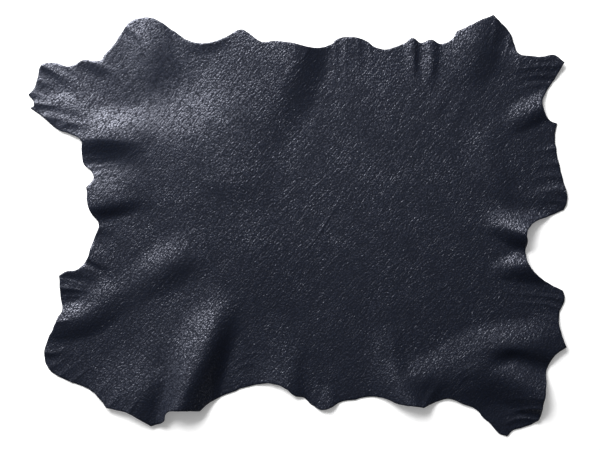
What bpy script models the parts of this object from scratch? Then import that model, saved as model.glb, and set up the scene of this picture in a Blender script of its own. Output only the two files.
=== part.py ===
"""A whole skin of soft navy leather, lying on a flat surface in low, uneven waves.

The outline and the folds are drawn on a squared board, like a cutter's template: x runs
right and y runs towards the front, in board units that SKIN_LENGTH turns into metres. The
skin is one thin sheet. Its flesh side lies on z = 0 wherever no fold lifts it.
"""

import math
from collections import namedtuple

import bpy
import numpy as np
from mathutils import geometry

# Driving dimensions, in metres
SKIN_LENGTH = 0.900  # across the skin, from the left leg's tip to the right flank
LEATHER = 0.0015  # thickness of the tanned skin
RIM_STEP = 0.0070  # spacing of the points along the cut edge
INNER_STEP = 0.0130  # spacing of the points inside it
RIM_CLEARANCE = 0.0080  # least distance of an inner point from the cut edge
SETTLING = 0.0015  # height over which the foot of a fold eases onto the surface
SINKING = 0.0004  # what the skin's weight takes off the height of every fold
FADING = 1.15  # how far past `back` or `front` a fold takes to fade out, as a multiple
CREST_ROUNDING = 0.0030  # radius that even a creased crest keeps
BLENDING = 0.0060  # how far a fold's stretches run into each other on the inside of a bend

# The board: the skin's own box on it, in board units
BOARD_LEFT, BOARD_RIGHT = 28.5, 567.0
BOARD_BACK, BOARD_FRONT = 15.4, 436.0
UNIT = SKIN_LENGTH / (BOARD_RIGHT - BOARD_LEFT)
EDGE_CURVE_STEPS = 12  # straight steps between two points of the outline
CREST_CURVE_STEPS = 8  # straight steps between two points of a fold's crest

# The cut edge, clockwise from the left leg's tip. Each stretch starts at a sharp corner and
# curves through its points to the corner where the next stretch starts.
Stretch = namedtuple("Stretch", "name points")
CUT_EDGE = (
    Stretch("left_leg_nick", ((30, 107.8),)),
    Stretch("left_leg_end", ((34.5, 106), (34.3, 103), (32, 99))),
    Stretch(
        "left_leg_back_side",
        (
            (28.5, 95), (33.5, 89), (37.8, 78), (40.5, 67), (48, 62.5), (57, 63.3),
            (68, 66.4), (76, 64), (85, 59.8), (95, 61.5),
        ),
    ),
    Stretch(
        "left_shoulder_lobe",
        (
            (101.5, 60), (105, 54.5), (113.5, 45), (121, 34), (130, 22.5), (138, 19.2),
            (151, 18.2), (162, 23), (178, 34), (190, 41.3), (208, 43.3), (222, 39.5),
            (233, 34), (241, 30.3), (249, 34), (261, 42.4),
            (276, 42.2), (295, 44.7), (308, 47.7), (322, 47.7), (331, 44.5),
            (338, 38.7), (350, 37.2), (366, 40.7), (375, 47), (386, 49.4), (395, 47),
            (405, 43), (412, 38.4), (421, 42.7), (431, 40), (440, 43.8), (450, 41),
        ),
    ),
    Stretch("right_shoulder_back_edge", ((457, 31.3), (470, 25.7), (480, 20.8))),
    Stretch(
        "right_shoulder_end",
        (
            (493, 15.4), (500, 22), (510, 33), (514, 43), (518, 53.5), (530, 56.4),
            (541, 57.3), (553, 55.6),
        ),
    ),
    Stretch(
        "right_leg_front_side",
        ((563.7, 63), (555, 78), (545, 94), (541.5, 102), (544, 112), (549, 119.7)),
    ),
    Stretch(
        "right_flank",
        ((557, 123.5), (555, 135), (556, 149), (559.5, 166), (563, 180), (567, 202)),
    ),
    Stretch(
        "right_bay",
        (
            (563.5, 209.8), (550, 216), (534, 222), (525.3, 231), (525.7, 243),
            (525, 252), (528, 264), (540, 277.5), (550, 284),
        ),
    ),
    Stretch("rump", ((563, 290.5), (564.5, 299), (559, 315), (560, 330))),
    Stretch(
        "hind_leg_right_side",
        (
            (566, 347), (557, 352.5), (546.3, 370), (545, 382), (540.8, 408),
            (539, 418.5), (534, 423), (521, 427.8), (513, 430.5),
        ),
    ),
    Stretch(
        "hind_leg_front_end",
        (
            (507, 436), (500, 434), (491, 424.5), (482, 416.5), (477, 410),
            (461, 403.3), (450, 398.8), (437, 401.3),
        ),
    ),
    Stretch(
        "front_edge",
        (
            (423, 406.5), (412, 404.5), (398, 403.2), (386, 398.5), (370, 396.7),
            (352, 400.2), (341, 401.7), (330, 407.9), (321, 409.4), (311, 404),
            (304, 397.5), (295, 395.6), (286, 388.5), (273, 383.5), (252, 385.7),
            (230, 393), (209, 403),
        ),
    ),
    Stretch("belly_point", ((200.5, 409.8), (180, 408.7), (168, 411.3), (165, 420))),
    Stretch(
        "belly_front_edge", ((151.5, 425.8), (140, 418.5), (129, 412), (118, 409.4))
    ),
    Stretch(
        "front_left_leg",
        (
            (107, 407), (100, 398.5), (90, 389.7), (74, 383), (60, 377), (50, 370),
            (44.5, 356), (48, 340), (53, 330), (58.5, 317.5), (62.5, 309.5),
            (60.7, 297), (60.2, 285),
        ),
    ),
    Stretch(
        "neck_front_half",
        (
            (60, 275.8), (66, 271.5), (79, 269), (88, 257.5), (91.5, 246), (97, 232),
            (99.2, 224.5), (92, 213.5), (87.8, 200), (88, 193),
        ),
    ),
    Stretch(
        "neck_back_half",
        (
            (87, 187.3), (94.2, 178), (92, 172), (84, 164), (82.3, 150), (82, 141),
            (72, 135), (57, 129), (46, 119.5),
        ),
    ),
)

# The folds. A crest runs through its points, each with its height in millimetres. From it
# the skin slopes down over `back` board units on the side that looks to the back left of
# the board, and over `front` units on the other side. A crest is round at `crisp` 0 and
# creased at 1.
Fold = namedtuple("Fold", "name crest crisp", defaults=(0.0,))
Point = namedtuple("Point", "x y height back front")
FOLDS = (
    Fold(
        "left_leg",
        (
            Point(30, 100, 1, 12, 14), Point(44, 103, 2.4, 16, 18), Point(60, 107, 4, 27, 20),
            Point(76, 111, 5.4, 32, 20), Point(90, 115, 5.4, 31, 22), Point(104, 121, 4, 30, 24),
            Point(120, 129, 2, 32, 24), Point(136, 136, 0, 32, 20),
        ),
    ),
    Fold(
        "left_leg_back",
        (
            Point(36, 60, 2.5, 10, 14), Point(54, 71, 2.5, 12, 12), Point(76, 84, 2.5, 16, 14),
            Point(98, 92, 0, 16, 16),
        ),
    ),
    Fold(
        "left_leg_hem",
        (
            Point(78, 56, 2, 8, 14), Point(92, 61, 4, 8, 17), Point(104, 68, 3, 8, 16),
            Point(116, 76, 0, 8, 14),
        ),
    ),
    Fold(
        "neck_back",
        (
            Point(66, 138, 5, 28, 26), Point(82, 140, 9, 30, 26), Point(98, 140, 12, 34, 26),
            Point(114, 141, 10.5, 36, 26), Point(132, 143, 6, 38, 24), Point(150, 146, 0, 40, 22),
        ),
        crisp=0.6,
    ),
    Fold(
        "neck_middle",
        (
            Point(80, 207, 10, 50, 18), Point(100, 204, 10.5, 52, 18), Point(120, 200, 8, 52, 18),
            Point(136, 196, 3.5, 48, 16), Point(152, 194, 0, 44, 14),
        ),
    ),
    Fold(
        "neck_notch",
        (
            Point(90, 228, 4, 14, 14), Point(102, 228, 3, 14, 13), Point(116, 230, 0, 14, 12),
        ),
    ),
    Fold(
        "neck_front",
        (
            Point(80, 252, 6, 20, 15), Point(98, 261, 4, 20, 14), Point(120, 276, 0, 16, 14),
        ),
    ),
    Fold(
        "neck_corner",
        (
            Point(48, 270, 6, 8, 20), Point(68, 268, 6.5, 8, 22), Point(84, 271, 5.5, 9, 22),
            Point(98, 280, 3, 9, 20), Point(112, 292, 0, 8, 16),
        ),
    ),
    Fold(
        "front_left_tab",
        (
            Point(50, 287, 4, 9, 14), Point(72, 288, 4, 10, 14), Point(92, 292, 2, 12, 16),
            Point(110, 298, 0, 12, 16),
        ),
    ),
    Fold(
        "front_left_leg",
        (
            Point(44, 324, 6, 20, 24), Point(64, 322, 8, 22, 26), Point(86, 315, 8.5, 22, 28),
            Point(104, 303, 6.5, 24, 30), Point(120, 290, 3, 24, 28), Point(134, 278, 0, 24, 26),
        ),
    ),
    Fold(
        "front_left_leg_end",
        (
            Point(40, 350, 3, 12, 10), Point(54, 351, 2.5, 12, 12), Point(72, 355, 0, 14, 14),
        ),
    ),
    Fold(
        "middle_left",
        (
            Point(206, 247, 0, 26, 22), Point(190, 254, 3, 28, 24), Point(173, 263, 7, 30, 27),
            Point(155, 274, 6.5, 30, 28), Point(138, 288, 2.5, 26, 26), Point(124, 302, 0, 24, 24),
        ),
    ),
    Fold(
        "belly_ridge",
        (
            Point(228, 288, 0, 28, 22), Point(221, 308, 5, 30, 23), Point(211, 336, 12.5, 34, 25),
            Point(200, 364, 17.5, 34, 30), Point(188, 390, 20, 26, 38),
            Point(177, 416, 21.5, 18, 46),
        ),
        crisp=0.1,
    ),
    Fold(
        "belly_rise",
        (
            Point(230, 296, 0, 60, 40), Point(206, 332, 4.5, 80, 40), Point(188, 366, 7, 72, 40),
            Point(178, 398, 6.5, 52, 36), Point(172, 424, 5, 44, 36),
        ),
    ),
    Fold(
        "belly_point",
        (
            Point(129, 426, 11.5, 60, 31), Point(135, 402, 11, 62, 29), Point(146, 383, 7, 60, 26),
            Point(160, 366, 0, 56, 22),
        ),
    ),
    Fold(
        "left_shoulder",
        (
            Point(142, 6, 5.5, 36, 36), Point(149, 30, 8, 36, 40), Point(153, 52, 8, 36, 44),
            Point(154, 70, 5.5, 36, 44), Point(152, 86, 2.5, 34, 40), Point(146, 98, 0, 32, 32),
        ),
        crisp=0.5,
    ),
    Fold(
        "back_curl",
        (
            Point(190, 38, 1, 8, 14), Point(206, 38, 4.5, 8, 20), Point(224, 33, 2, 8, 14),
        ),
    ),
    Fold(
        "broad_step",
        (
            Point(299, 34, 15, 160, 38), Point(293, 62, 13.5, 160, 38), Point(283, 88, 10, 150, 40),
            Point(271, 111, 5.5, 140, 40), Point(259, 131, 2, 120, 38),
            Point(243, 151, 0, 100, 34),
        ),
        crisp=0.4,
    ),
    Fold(
        "broad_rise",
        (
            Point(108, 160, 0, 56, 70), Point(142, 152, 6, 62, 120), Point(178, 148, 10.5, 68, 200),
            Point(216, 150, 10.5, 84, 220), Point(252, 149, 6.5, 90, 200), Point(284, 142, 0, 80, 120),
        ),
    ),
    Fold(
        "back_edge",
        (Point(352, 37, 3.4, 26, 24), Point(354, 52, 2.4, 28, 26), Point(352, 74, 0, 28, 26)),
    ),
    Fold(
        "left_pleat",
        (
            Point(413.5, 36, 4.6, 13, 7), Point(413.5, 62, 4, 13, 7), Point(415, 88, 0, 14, 8),
        ),
    ),
    Fold(
        "right_pleat",
        (
            Point(431.5, 36, 4.2, 12, 10), Point(431, 66, 3.8, 12, 10), Point(427, 96, 0, 12, 10),
        ),
    ),
    Fold(
        "right_shoulder",
        (
            Point(484, 8, 4, 40, 34), Point(479, 32, 8, 42, 34), Point(475, 52, 8.5, 42, 34),
            Point(469, 72, 4.5, 40, 32), Point(462, 92, 0, 40, 28),
        ),
    ),
    Fold(
        "right_leg_edge",
        (
            Point(500, 58, 0, 14, 30), Point(518, 56, 5, 12, 34), Point(540, 56, 7, 12, 34),
            Point(572, 58, 7, 10, 34),
        ),
    ),
    Fold(
        "right_leg",
        (
            Point(556, 100, 7.5, 17, 19), Point(541, 107, 8, 18, 20), Point(526, 115, 6.5, 22, 20),
            Point(512, 124, 3, 24, 18), Point(498, 134, 0, 24, 16),
        ),
    ),
    Fold(
        "right_flank",
        (
            Point(484, 118, 0, 34, 24), Point(485, 142, 3.2, 34, 30), Point(490, 164, 4.4, 34, 34),
            Point(498, 182, 4.2, 28, 34), Point(508, 200, 2.6, 22, 32), Point(516, 212, 0, 18, 26),
        ),
        crisp=0.4,
    ),
    Fold(
        "right_flank_lip",
        (
            Point(520, 197, 0, 14, 13), Point(537, 195, 2.2, 14, 16), Point(554, 193, 3.2, 15, 17),
            Point(574, 190, 3.2, 15, 17),
        ),
    ),
    Fold(
        "right_bay_back",
        (
            Point(544, 237, 25, 27, 24), Point(527, 234, 22, 27, 23), Point(512, 230, 15, 25, 20),
            Point(499, 226, 8, 24, 17), Point(486, 224, 2.5, 24, 15), Point(474, 224, 0, 24, 14),
        ),
        crisp=0.3,
    ),
    Fold(
        "right_bay_front",
        (
            Point(544, 264, 11, 17, 26), Point(524, 265, 10, 18, 24), Point(508, 267, 6.5, 16, 20),
            Point(494, 270, 2, 14, 18), Point(484, 272, 0, 16, 16),
        ),
    ),
    Fold(
        "rump",
        (
            Point(575, 352, 5, 50, 22), Point(550, 350, 8, 48, 24), Point(530, 348, 11, 38, 20),
            Point(510, 346, 11.5, 32, 16), Point(490, 349, 8, 34, 20), Point(470, 355, 3.5, 36, 24),
            Point(452, 360, 0, 36, 26),
        ),
    ),
    Fold(
        "rump_rise",
        (
            Point(505, 362, 0, 40, 60), Point(482, 368, 5, 48, 60), Point(458, 373, 7, 46, 58),
            Point(438, 377, 7.5, 38, 29), Point(420, 375, 6.5, 30, 24), Point(406, 368, 0, 24, 20),
        ),
    ),
    Fold(
        "hind_leg",
        (
            Point(560, 402, 20, 29, 32), Point(541, 393, 18, 28, 32), Point(522, 382, 14, 26, 32),
            Point(505, 375, 10, 23, 31), Point(489, 373, 6.5, 20, 32), Point(474, 376, 3, 18, 30),
            Point(462, 381, 0, 16, 26),
        ),
    ),
    Fold(
        "front_middle",
        (
            Point(402, 318, 0, 36, 16), Point(393, 340, 3, 42, 17), Point(391, 362, 6, 38, 21),
            Point(399, 384, 11.5, 34, 24), Point(410, 404, 18.5, 32, 28), Point(418, 420, 23, 32, 30),
        ),
        crisp=0.3,
    ),
    Fold(
        "front_left",
        (
            Point(300, 322, 0, 48, 16), Point(296, 346, 1.6, 48, 16), Point(291, 366, 4, 46, 20),
            Point(287, 384, 7, 44, 24), Point(285, 402, 9, 42, 28),
        ),
    ),
    Fold(
        "front_bump",
        (Point(332, 418, 8, 20, 14), Point(328, 402, 6, 20, 14), Point(322, 384, 0, 20, 14)),
    ),
    Fold(
        "middle",
        (
            Point(204, 174, 0, 50, 20), Point(230, 180, 2, 50, 20), Point(252, 187, 1.5, 50, 20),
            Point(276, 194, 0, 50, 20),
        ),
    ),
    Fold(
        "middle_front",
        (
            Point(226, 296, 0, 56, 90), Point(250, 276, 2.4, 62, 110), Point(274, 248, 2.4, 62, 110),
            Point(290, 214, 0, 56, 90),
        ),
    ),
)
BACK_LEFT = np.array((-0.6, 0.8))  # towards the board's back left corner, in the part's frame
MILLIMETRE = 0.001

NAVY = (0.018, 0.021, 0.034, 1.0)  # base colour of the dyed grain
GRAIN_ROUGHNESS = 0.5


def clear_scene():
    for old in list(bpy.data.objects):
        bpy.data.objects.remove(old, do_unlink=True)


def on_table(x, y):
    """A point of the board, in metres from the middle of the skin."""
    across = (x - (BOARD_LEFT + BOARD_RIGHT) / 2) * UNIT
    deep = ((BOARD_BACK + BOARD_FRONT) / 2 - y) * UNIT
    return across, deep


def cut_edge_curve():
    """The outline as one closed curve: rounded points between sharp corners."""
    curve = bpy.data.curves.new("cut_edge", "CURVE")
    curve.dimensions = "2D"
    curve.fill_mode = "NONE"
    curve.resolution_u = EDGE_CURVE_STEPS
    spline = curve.splines.new("BEZIER")
    spline.bezier_points.add(sum(len(stretch.points) for stretch in CUT_EDGE) - 1)
    spline.use_cyclic_u = True
    places = iter(spline.bezier_points)
    for stretch in CUT_EDGE:
        for index, (x, y) in enumerate(stretch.points):
            point = next(places)
            point.co = (*on_table(x, y), 0.0)
            kind = "VECTOR" if index == 0 else "AUTO"
            point.handle_left_type = kind
            point.handle_right_type = kind
    return curve


def cut_edge_points():
    """The outline as evenly spaced points, with every sharp corner kept."""
    guide = bpy.data.objects.new("cut_edge", cut_edge_curve())
    bpy.context.scene.collection.objects.link(guide)
    graph = bpy.context.evaluated_depsgraph_get()
    mesh = bpy.data.meshes.new_from_object(guide.evaluated_get(graph))
    line = np.array([vertex.co[:2] for vertex in mesh.vertices])
    bpy.data.meshes.remove(mesh)
    bpy.data.objects.remove(guide, do_unlink=True)

    corners = [np.array(on_table(*stretch.points[0])) for stretch in CUT_EDGE]
    starts = [int(np.argmin(np.linalg.norm(line - corner, axis=1))) for corner in corners]
    line = np.roll(line, -starts[0], axis=0)
    starts = [(start - starts[0]) % len(line) for start in starts] + [len(line)]
    line = np.vstack((line, line[:1]))
    spaced = []
    for start, end in zip(starts, starts[1:]):
        piece = line[start : end + 1]
        along = np.concatenate(
            ((0.0,), np.cumsum(np.linalg.norm(np.diff(piece, axis=0), axis=1)))
        )
        steps = max(1, round(along[-1] / RIM_STEP))
        wanted = np.linspace(0.0, along[-1], steps, endpoint=False)
        spaced.append(
            np.column_stack([np.interp(wanted, along, piece[:, k]) for k in (0, 1)])
        )
    return np.vstack(spaced)


def inside(points, rim):
    """Which points lie inside the closed line `rim`."""
    found = np.zeros(len(points), bool)
    for (ax, ay), (bx, by) in zip(rim, np.roll(rim, -1, axis=0)):
        crosses = (points[:, 1] < ay) != (points[:, 1] < by)
        if ay != by:
            reach = ax + (points[:, 1] - ay) * (bx - ax) / (by - ay)
            found ^= crosses & (points[:, 0] < reach)
    return found


def inner_points(rim):
    """Points in staggered rows over the skin, clear of the cut edge."""
    low, high = rim.min(axis=0), rim.max(axis=0)
    row_step = INNER_STEP * math.sqrt(3) / 2
    rows = np.arange(low[1] + row_step / 2, high[1], row_step)
    found = []
    for number, y in enumerate(rows):
        xs = np.arange(low[0] + INNER_STEP * (number % 2) / 2, high[0], INNER_STEP)
        found.append(np.column_stack((xs, np.full(len(xs), y))))
    found = np.vstack(found)
    found = found[inside(found, rim)]
    gaps = np.linalg.norm(found[:, None] - rim[None], axis=2).min(axis=1)
    return found[gaps > RIM_CLEARANCE]


def smooth_run(points):
    """A smooth line through the points of a crest (Catmull-Rom)."""
    points = np.array(points, float)
    padded = np.vstack((2 * points[0] - points[1], points, 2 * points[-1] - points[-2]))
    line = []
    for before, start, end, after in zip(padded, padded[1:], padded[2:], padded[3:]):
        for t in np.arange(CREST_CURVE_STEPS) / CREST_CURVE_STEPS:
            line.append(
                0.5
                * (
                    2 * start
                    + (end - before) * t
                    + (2 * before - 5 * start + 4 * end - after) * t**2
                    + (3 * start - before - 3 * end + after) * t**3
                )
            )
    return np.array(line + [points[-1]])


def fold_heights(fold, places):
    """How high one fold lifts each place, in metres."""
    line = smooth_run(fold.crest)
    run = np.column_stack(on_table(line[:, 0], line[:, 1]))
    shape = line[:, 2:] * (MILLIMETRE, UNIT, UNIT)
    gaps, sides, shapes = [], [], []
    for start, end, first, last in zip(run, run[1:], shape, shape[1:]):
        step = end - start
        normal = np.array((-step[1], step[0])) / np.linalg.norm(step)
        if normal @ BACK_LEFT < 0:
            normal = -normal
        share = np.clip((places - start) @ step / (step @ step), 0.0, 1.0)[:, None]
        away = places - (start + share * step)
        gap = np.linalg.norm(away, axis=1)
        gaps.append(gap)
        sides.append(away @ normal / np.maximum(gap, 1e-9))
        shapes.append(first + share * (last - first))
    gaps = np.array(gaps)
    weights = np.exp((gaps.min(axis=0) - gaps) / BLENDING)
    weights /= weights.sum(axis=0)
    gap = (weights * gaps).sum(axis=0)
    side = (weights * sides).sum(axis=0)
    height, back, front = np.einsum("sp,spk->kp", weights, np.array(shapes))
    reach = FADING * (front + (back - front) * (0.5 + 0.5 * side))
    gap = np.hypot(gap, CREST_ROUNDING) - CREST_ROUNDING
    ratio = np.clip(gap / reach, 0.0, 1.0)
    round_top = (1.0 - ratio**2) ** 3
    sharp_top = (1.0 - ratio) ** 3 * (1.0 + 2.0 * ratio)
    return height * (round_top + fold.crisp * (sharp_top - round_top))


def skin_height(places):
    """Height of the flesh side over the surface: the folds together, eased at their feet."""
    lift = sum(fold_heights(fold, places) for fold in FOLDS) - SINKING
    eased = np.where(lift < SETTLING, lift**2 / (2 * SETTLING), lift - SETTLING / 2)
    return np.where(lift > 0.0, eased, 0.0)


def skin_sheet(rim):
    """The flesh side of the skin as an open sheet of triangles."""
    places = np.vstack((rim, inner_points(rim)))
    count = len(rim)
    edges = [(index, (index + 1) % count) for index in range(count)]
    inside_only = 1
    flat, _, faces, *_ = geometry.delaunay_2d_cdt(
        [tuple(place) for place in places], edges, [], inside_only, 1e-7
    )
    flat = np.array([tuple(place) for place in flat])
    points = np.column_stack((flat, skin_height(flat)))
    points[:, :2] -= (points[:, :2].min(axis=0) + points[:, :2].max(axis=0)) / 2
    mesh = bpy.data.meshes.new("hide")
    mesh.from_pydata(points.tolist(), [], faces)
    mesh.validate()
    return mesh


def leather_material():
    material = bpy.data.materials.new("navy_leather")
    material.use_nodes = True
    shader = material.node_tree.nodes["Principled BSDF"]
    shader.inputs["Base Color"].default_value = NAVY
    shader.inputs["Roughness"].default_value = GRAIN_ROUGHNESS
    shader.inputs["Metallic"].default_value = 0.0
    return material


def make_hide(collection):
    """The skin: its flesh side, thickened upwards to the grain side."""
    mesh = skin_sheet(cut_edge_points())
    mesh.shade_smooth()
    mesh.materials.append(leather_material())
    hide = bpy.data.objects.new("hide", mesh)
    collection.objects.link(hide)
    thickening = hide.modifiers.new("leather", "SOLIDIFY")
    thickening.thickness = LEATHER
    thickening.offset = 1.0
    return hide


clear_scene()
leather_hide = bpy.data.collections.new("leather_hide")
bpy.context.scene.collection.children.link(leather_hide)
make_hide(leather_hide)
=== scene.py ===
"""A whole skin of soft navy leather, lying grain side up on a pale floor in low, uneven waves."""

import math
from collections import namedtuple

import bpy
import numpy as np
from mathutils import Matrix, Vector, geometry, kdtree, noise


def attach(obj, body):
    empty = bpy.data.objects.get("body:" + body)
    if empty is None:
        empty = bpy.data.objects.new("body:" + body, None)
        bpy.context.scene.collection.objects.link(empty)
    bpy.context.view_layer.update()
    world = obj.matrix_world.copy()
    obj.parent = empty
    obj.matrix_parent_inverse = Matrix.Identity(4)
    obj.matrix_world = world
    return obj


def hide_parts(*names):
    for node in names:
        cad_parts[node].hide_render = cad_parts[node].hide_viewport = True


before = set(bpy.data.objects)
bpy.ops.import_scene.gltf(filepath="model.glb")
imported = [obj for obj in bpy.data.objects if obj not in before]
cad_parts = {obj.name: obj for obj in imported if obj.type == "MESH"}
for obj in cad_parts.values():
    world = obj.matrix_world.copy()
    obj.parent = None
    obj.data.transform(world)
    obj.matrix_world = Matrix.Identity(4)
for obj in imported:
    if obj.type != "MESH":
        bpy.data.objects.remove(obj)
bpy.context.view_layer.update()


# --- The cut of the skin -------------------------------------------------------------------
# A tanned goat skin is trimmed once with a round knife, along the animal's own ragged outline
# of legs, shoulders, neck, belly and rump. Its template is drawn on a squared board, with x to
# the right and y towards the front, in board units.

SKIN_LENGTH = 0.900  # metres, from the left leg's tip to the right flank
BOARD_LEFT, BOARD_RIGHT = 28.5, 567.0
BOARD_BACK, BOARD_FRONT = 15.4, 436.0
UNIT = SKIN_LENGTH / (BOARD_RIGHT - BOARD_LEFT)
EDGE_CURVE_STEPS = 12  # straight steps between two points of the outline
RIM_STEP = 0.0028  # spacing of the points along the cut edge

# Each stretch starts at a sharp corner, and the knife went round through its other points.
Stretch = namedtuple("Stretch", "name points")
CUT_EDGE = (
    Stretch("left_leg_nick", ((30, 107.8),)),
    Stretch("left_leg_end", ((34.5, 106), (34.3, 103), (32, 99))),
    Stretch(
        "left_leg_back_side",
        (
            (28.5, 95), (33.5, 89), (37.8, 78), (40.5, 67), (48, 62.5), (57, 63.3),
            (68, 66.4), (76, 64), (85, 59.8), (95, 61.5),
        ),
    ),
    Stretch(
        "left_shoulder_lobe",
        (
            (101.5, 60), (105, 54.5), (113.5, 45), (121, 34), (130, 22.5), (138, 19.2),
            (151, 18.2), (162, 23), (178, 34), (190, 41.3), (208, 43.3), (222, 39.5),
            (233, 34), (241, 30.3), (249, 34), (261, 42.4),
            (276, 42.2), (295, 44.7), (308, 47.7), (322, 47.7), (331, 44.5),
            (338, 38.7), (350, 37.2), (366, 40.7), (375, 47), (386, 49.4), (395, 47),
            (405, 43), (412, 38.4), (421, 42.7), (431, 40), (440, 43.8), (450, 41),
        ),
    ),
    Stretch("right_shoulder_back_edge", ((457, 31.3), (470, 25.7), (480, 20.8))),
    Stretch(
        "right_shoulder_end",
        (
            (493, 15.4), (500, 22), (510, 33), (514, 43), (518, 53.5), (530, 56.4),
            (541, 57.3), (553, 55.6),
        ),
    ),
    Stretch(
        "right_leg_front_side",
        ((563.7, 63), (555, 78), (545, 94), (541.5, 102), (544, 112), (549, 119.7)),
    ),
    Stretch(
        "right_flank",
        ((557, 123.5), (555, 135), (556, 149), (559.5, 166), (563, 180), (567, 202)),
    ),
    Stretch(
        "right_bay",
        (
            (563.5, 209.8), (550, 216), (534, 222), (525.3, 231), (525.7, 243),
            (525, 252), (528, 264), (540, 277.5), (550, 284),
        ),
    ),
    Stretch("rump", ((563, 290.5), (564.5, 299), (559, 315), (560, 330))),
    Stretch(
        "hind_leg_right_side",
        (
            (566, 347), (557, 352.5), (546.3, 370), (545, 382), (540.8, 408),
            (539, 418.5), (534, 423), (521, 427.8), (513, 430.5),
        ),
    ),
    Stretch(
        "hind_leg_front_end",
        (
            (507, 436), (500, 434), (491, 424.5), (482, 416.5), (477, 410),
            (461, 403.3), (450, 398.8), (437, 401.3),
        ),
    ),
    Stretch(
        "front_edge",
        (
            (423, 406.5), (412, 404.5), (398, 403.2), (386, 398.5), (370, 396.7),
            (352, 400.2), (341, 401.7), (330, 407.9), (321, 409.4), (311, 404),
            (304, 397.5), (295, 395.6), (286, 388.5), (273, 383.5), (252, 385.7),
            (230, 393), (209, 403),
        ),
    ),
    Stretch("belly_point", ((200.5, 409.8), (180, 408.7), (168, 411.3), (165, 420))),
    Stretch(
        "belly_front_edge", ((151.5, 425.8), (140, 418.5), (129, 412), (118, 409.4))
    ),
    Stretch(
        "front_left_leg",
        (
            (107, 407), (100, 398.5), (90, 389.7), (74, 383), (60, 377), (50, 370),
            (44.5, 356), (48, 340), (53, 330), (58.5, 317.5), (62.5, 309.5),
            (60.7, 297), (60.2, 285),
        ),
    ),
    Stretch(
        "neck_front_half",
        (
            (60, 275.8), (66, 271.5), (79, 269), (88, 257.5), (91.5, 246), (97, 232),
            (99.2, 224.5), (92, 213.5), (87.8, 200), (88, 193),
        ),
    ),
    Stretch(
        "neck_back_half",
        (
            (87, 187.3), (94.2, 178), (92, 172), (84, 164), (82.3, 150), (82, 141),
            (72, 135), (57, 129), (46, 119.5),
        ),
    ),
)


def on_table(x, y):
    """A point of the board, in metres from the middle of the skin."""
    across = (x - (BOARD_LEFT + BOARD_RIGHT) / 2) * UNIT
    deep = ((BOARD_BACK + BOARD_FRONT) / 2 - y) * UNIT
    return across, deep


def cut_edge_curve():
    """The outline as one closed curve: rounded points between sharp corners."""
    curve = bpy.data.curves.new("cut_edge", "CURVE")
    curve.dimensions = "2D"
    curve.fill_mode = "NONE"
    curve.resolution_u = EDGE_CURVE_STEPS
    spline = curve.splines.new("BEZIER")
    spline.bezier_points.add(sum(len(stretch.points) for stretch in CUT_EDGE) - 1)
    spline.use_cyclic_u = True
    places = iter(spline.bezier_points)
    for stretch in CUT_EDGE:
        for index, (x, y) in enumerate(stretch.points):
            point = next(places)
            point.co = (*on_table(x, y), 0.0)
            kind = "VECTOR" if index == 0 else "AUTO"
            point.handle_left_type = kind
            point.handle_right_type = kind
    return curve


def lengths_along(line):
    """How far along a line each of its points lies."""
    steps = np.linalg.norm(np.diff(line, axis=0), axis=1)
    return np.concatenate(((0.0,), np.cumsum(steps)))


def points_along(line, along, wanted):
    """Points of a line at the wanted lengths along it."""
    return np.column_stack([np.interp(wanted, along, line[:, k]) for k in (0, 1)])


def cut_edge_points():
    """The outline as evenly spaced points, with every sharp corner kept."""
    guide = bpy.data.objects.new("cut_edge", cut_edge_curve())
    bpy.context.scene.collection.objects.link(guide)
    graph = bpy.context.evaluated_depsgraph_get()
    mesh = bpy.data.meshes.new_from_object(guide.evaluated_get(graph))
    line = np.array([vertex.co[:2] for vertex in mesh.vertices])
    bpy.data.meshes.remove(mesh)
    bpy.data.objects.remove(guide, do_unlink=True)

    corners = [np.array(on_table(*stretch.points[0])) for stretch in CUT_EDGE]
    starts = [int(np.argmin(np.linalg.norm(line - corner, axis=1))) for corner in corners]
    line = np.roll(line, -starts[0], axis=0)
    starts = [(start - starts[0]) % len(line) for start in starts] + [len(line)]
    line = np.vstack((line, line[:1]))
    spaced = []
    for start, end in zip(starts, starts[1:]):
        piece = line[start : end + 1]
        along = lengths_along(piece)
        steps = max(1, round(along[-1] / RIM_STEP))
        wanted = np.linspace(0.0, along[-1], steps, endpoint=False)
        spaced.append(points_along(piece, along, wanted))
    return np.vstack(spaced)


rim = cut_edge_points()
rim -= (rim.min(axis=0) + rim.max(axis=0)) / 2


# --- The folds it lies in ------------------------------------------------------------------
# Soft leather never lies flat. It keeps low waves that run in from the legs and the belly,
# where the skin was stretched least, and it rests on the floor between them.

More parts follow.
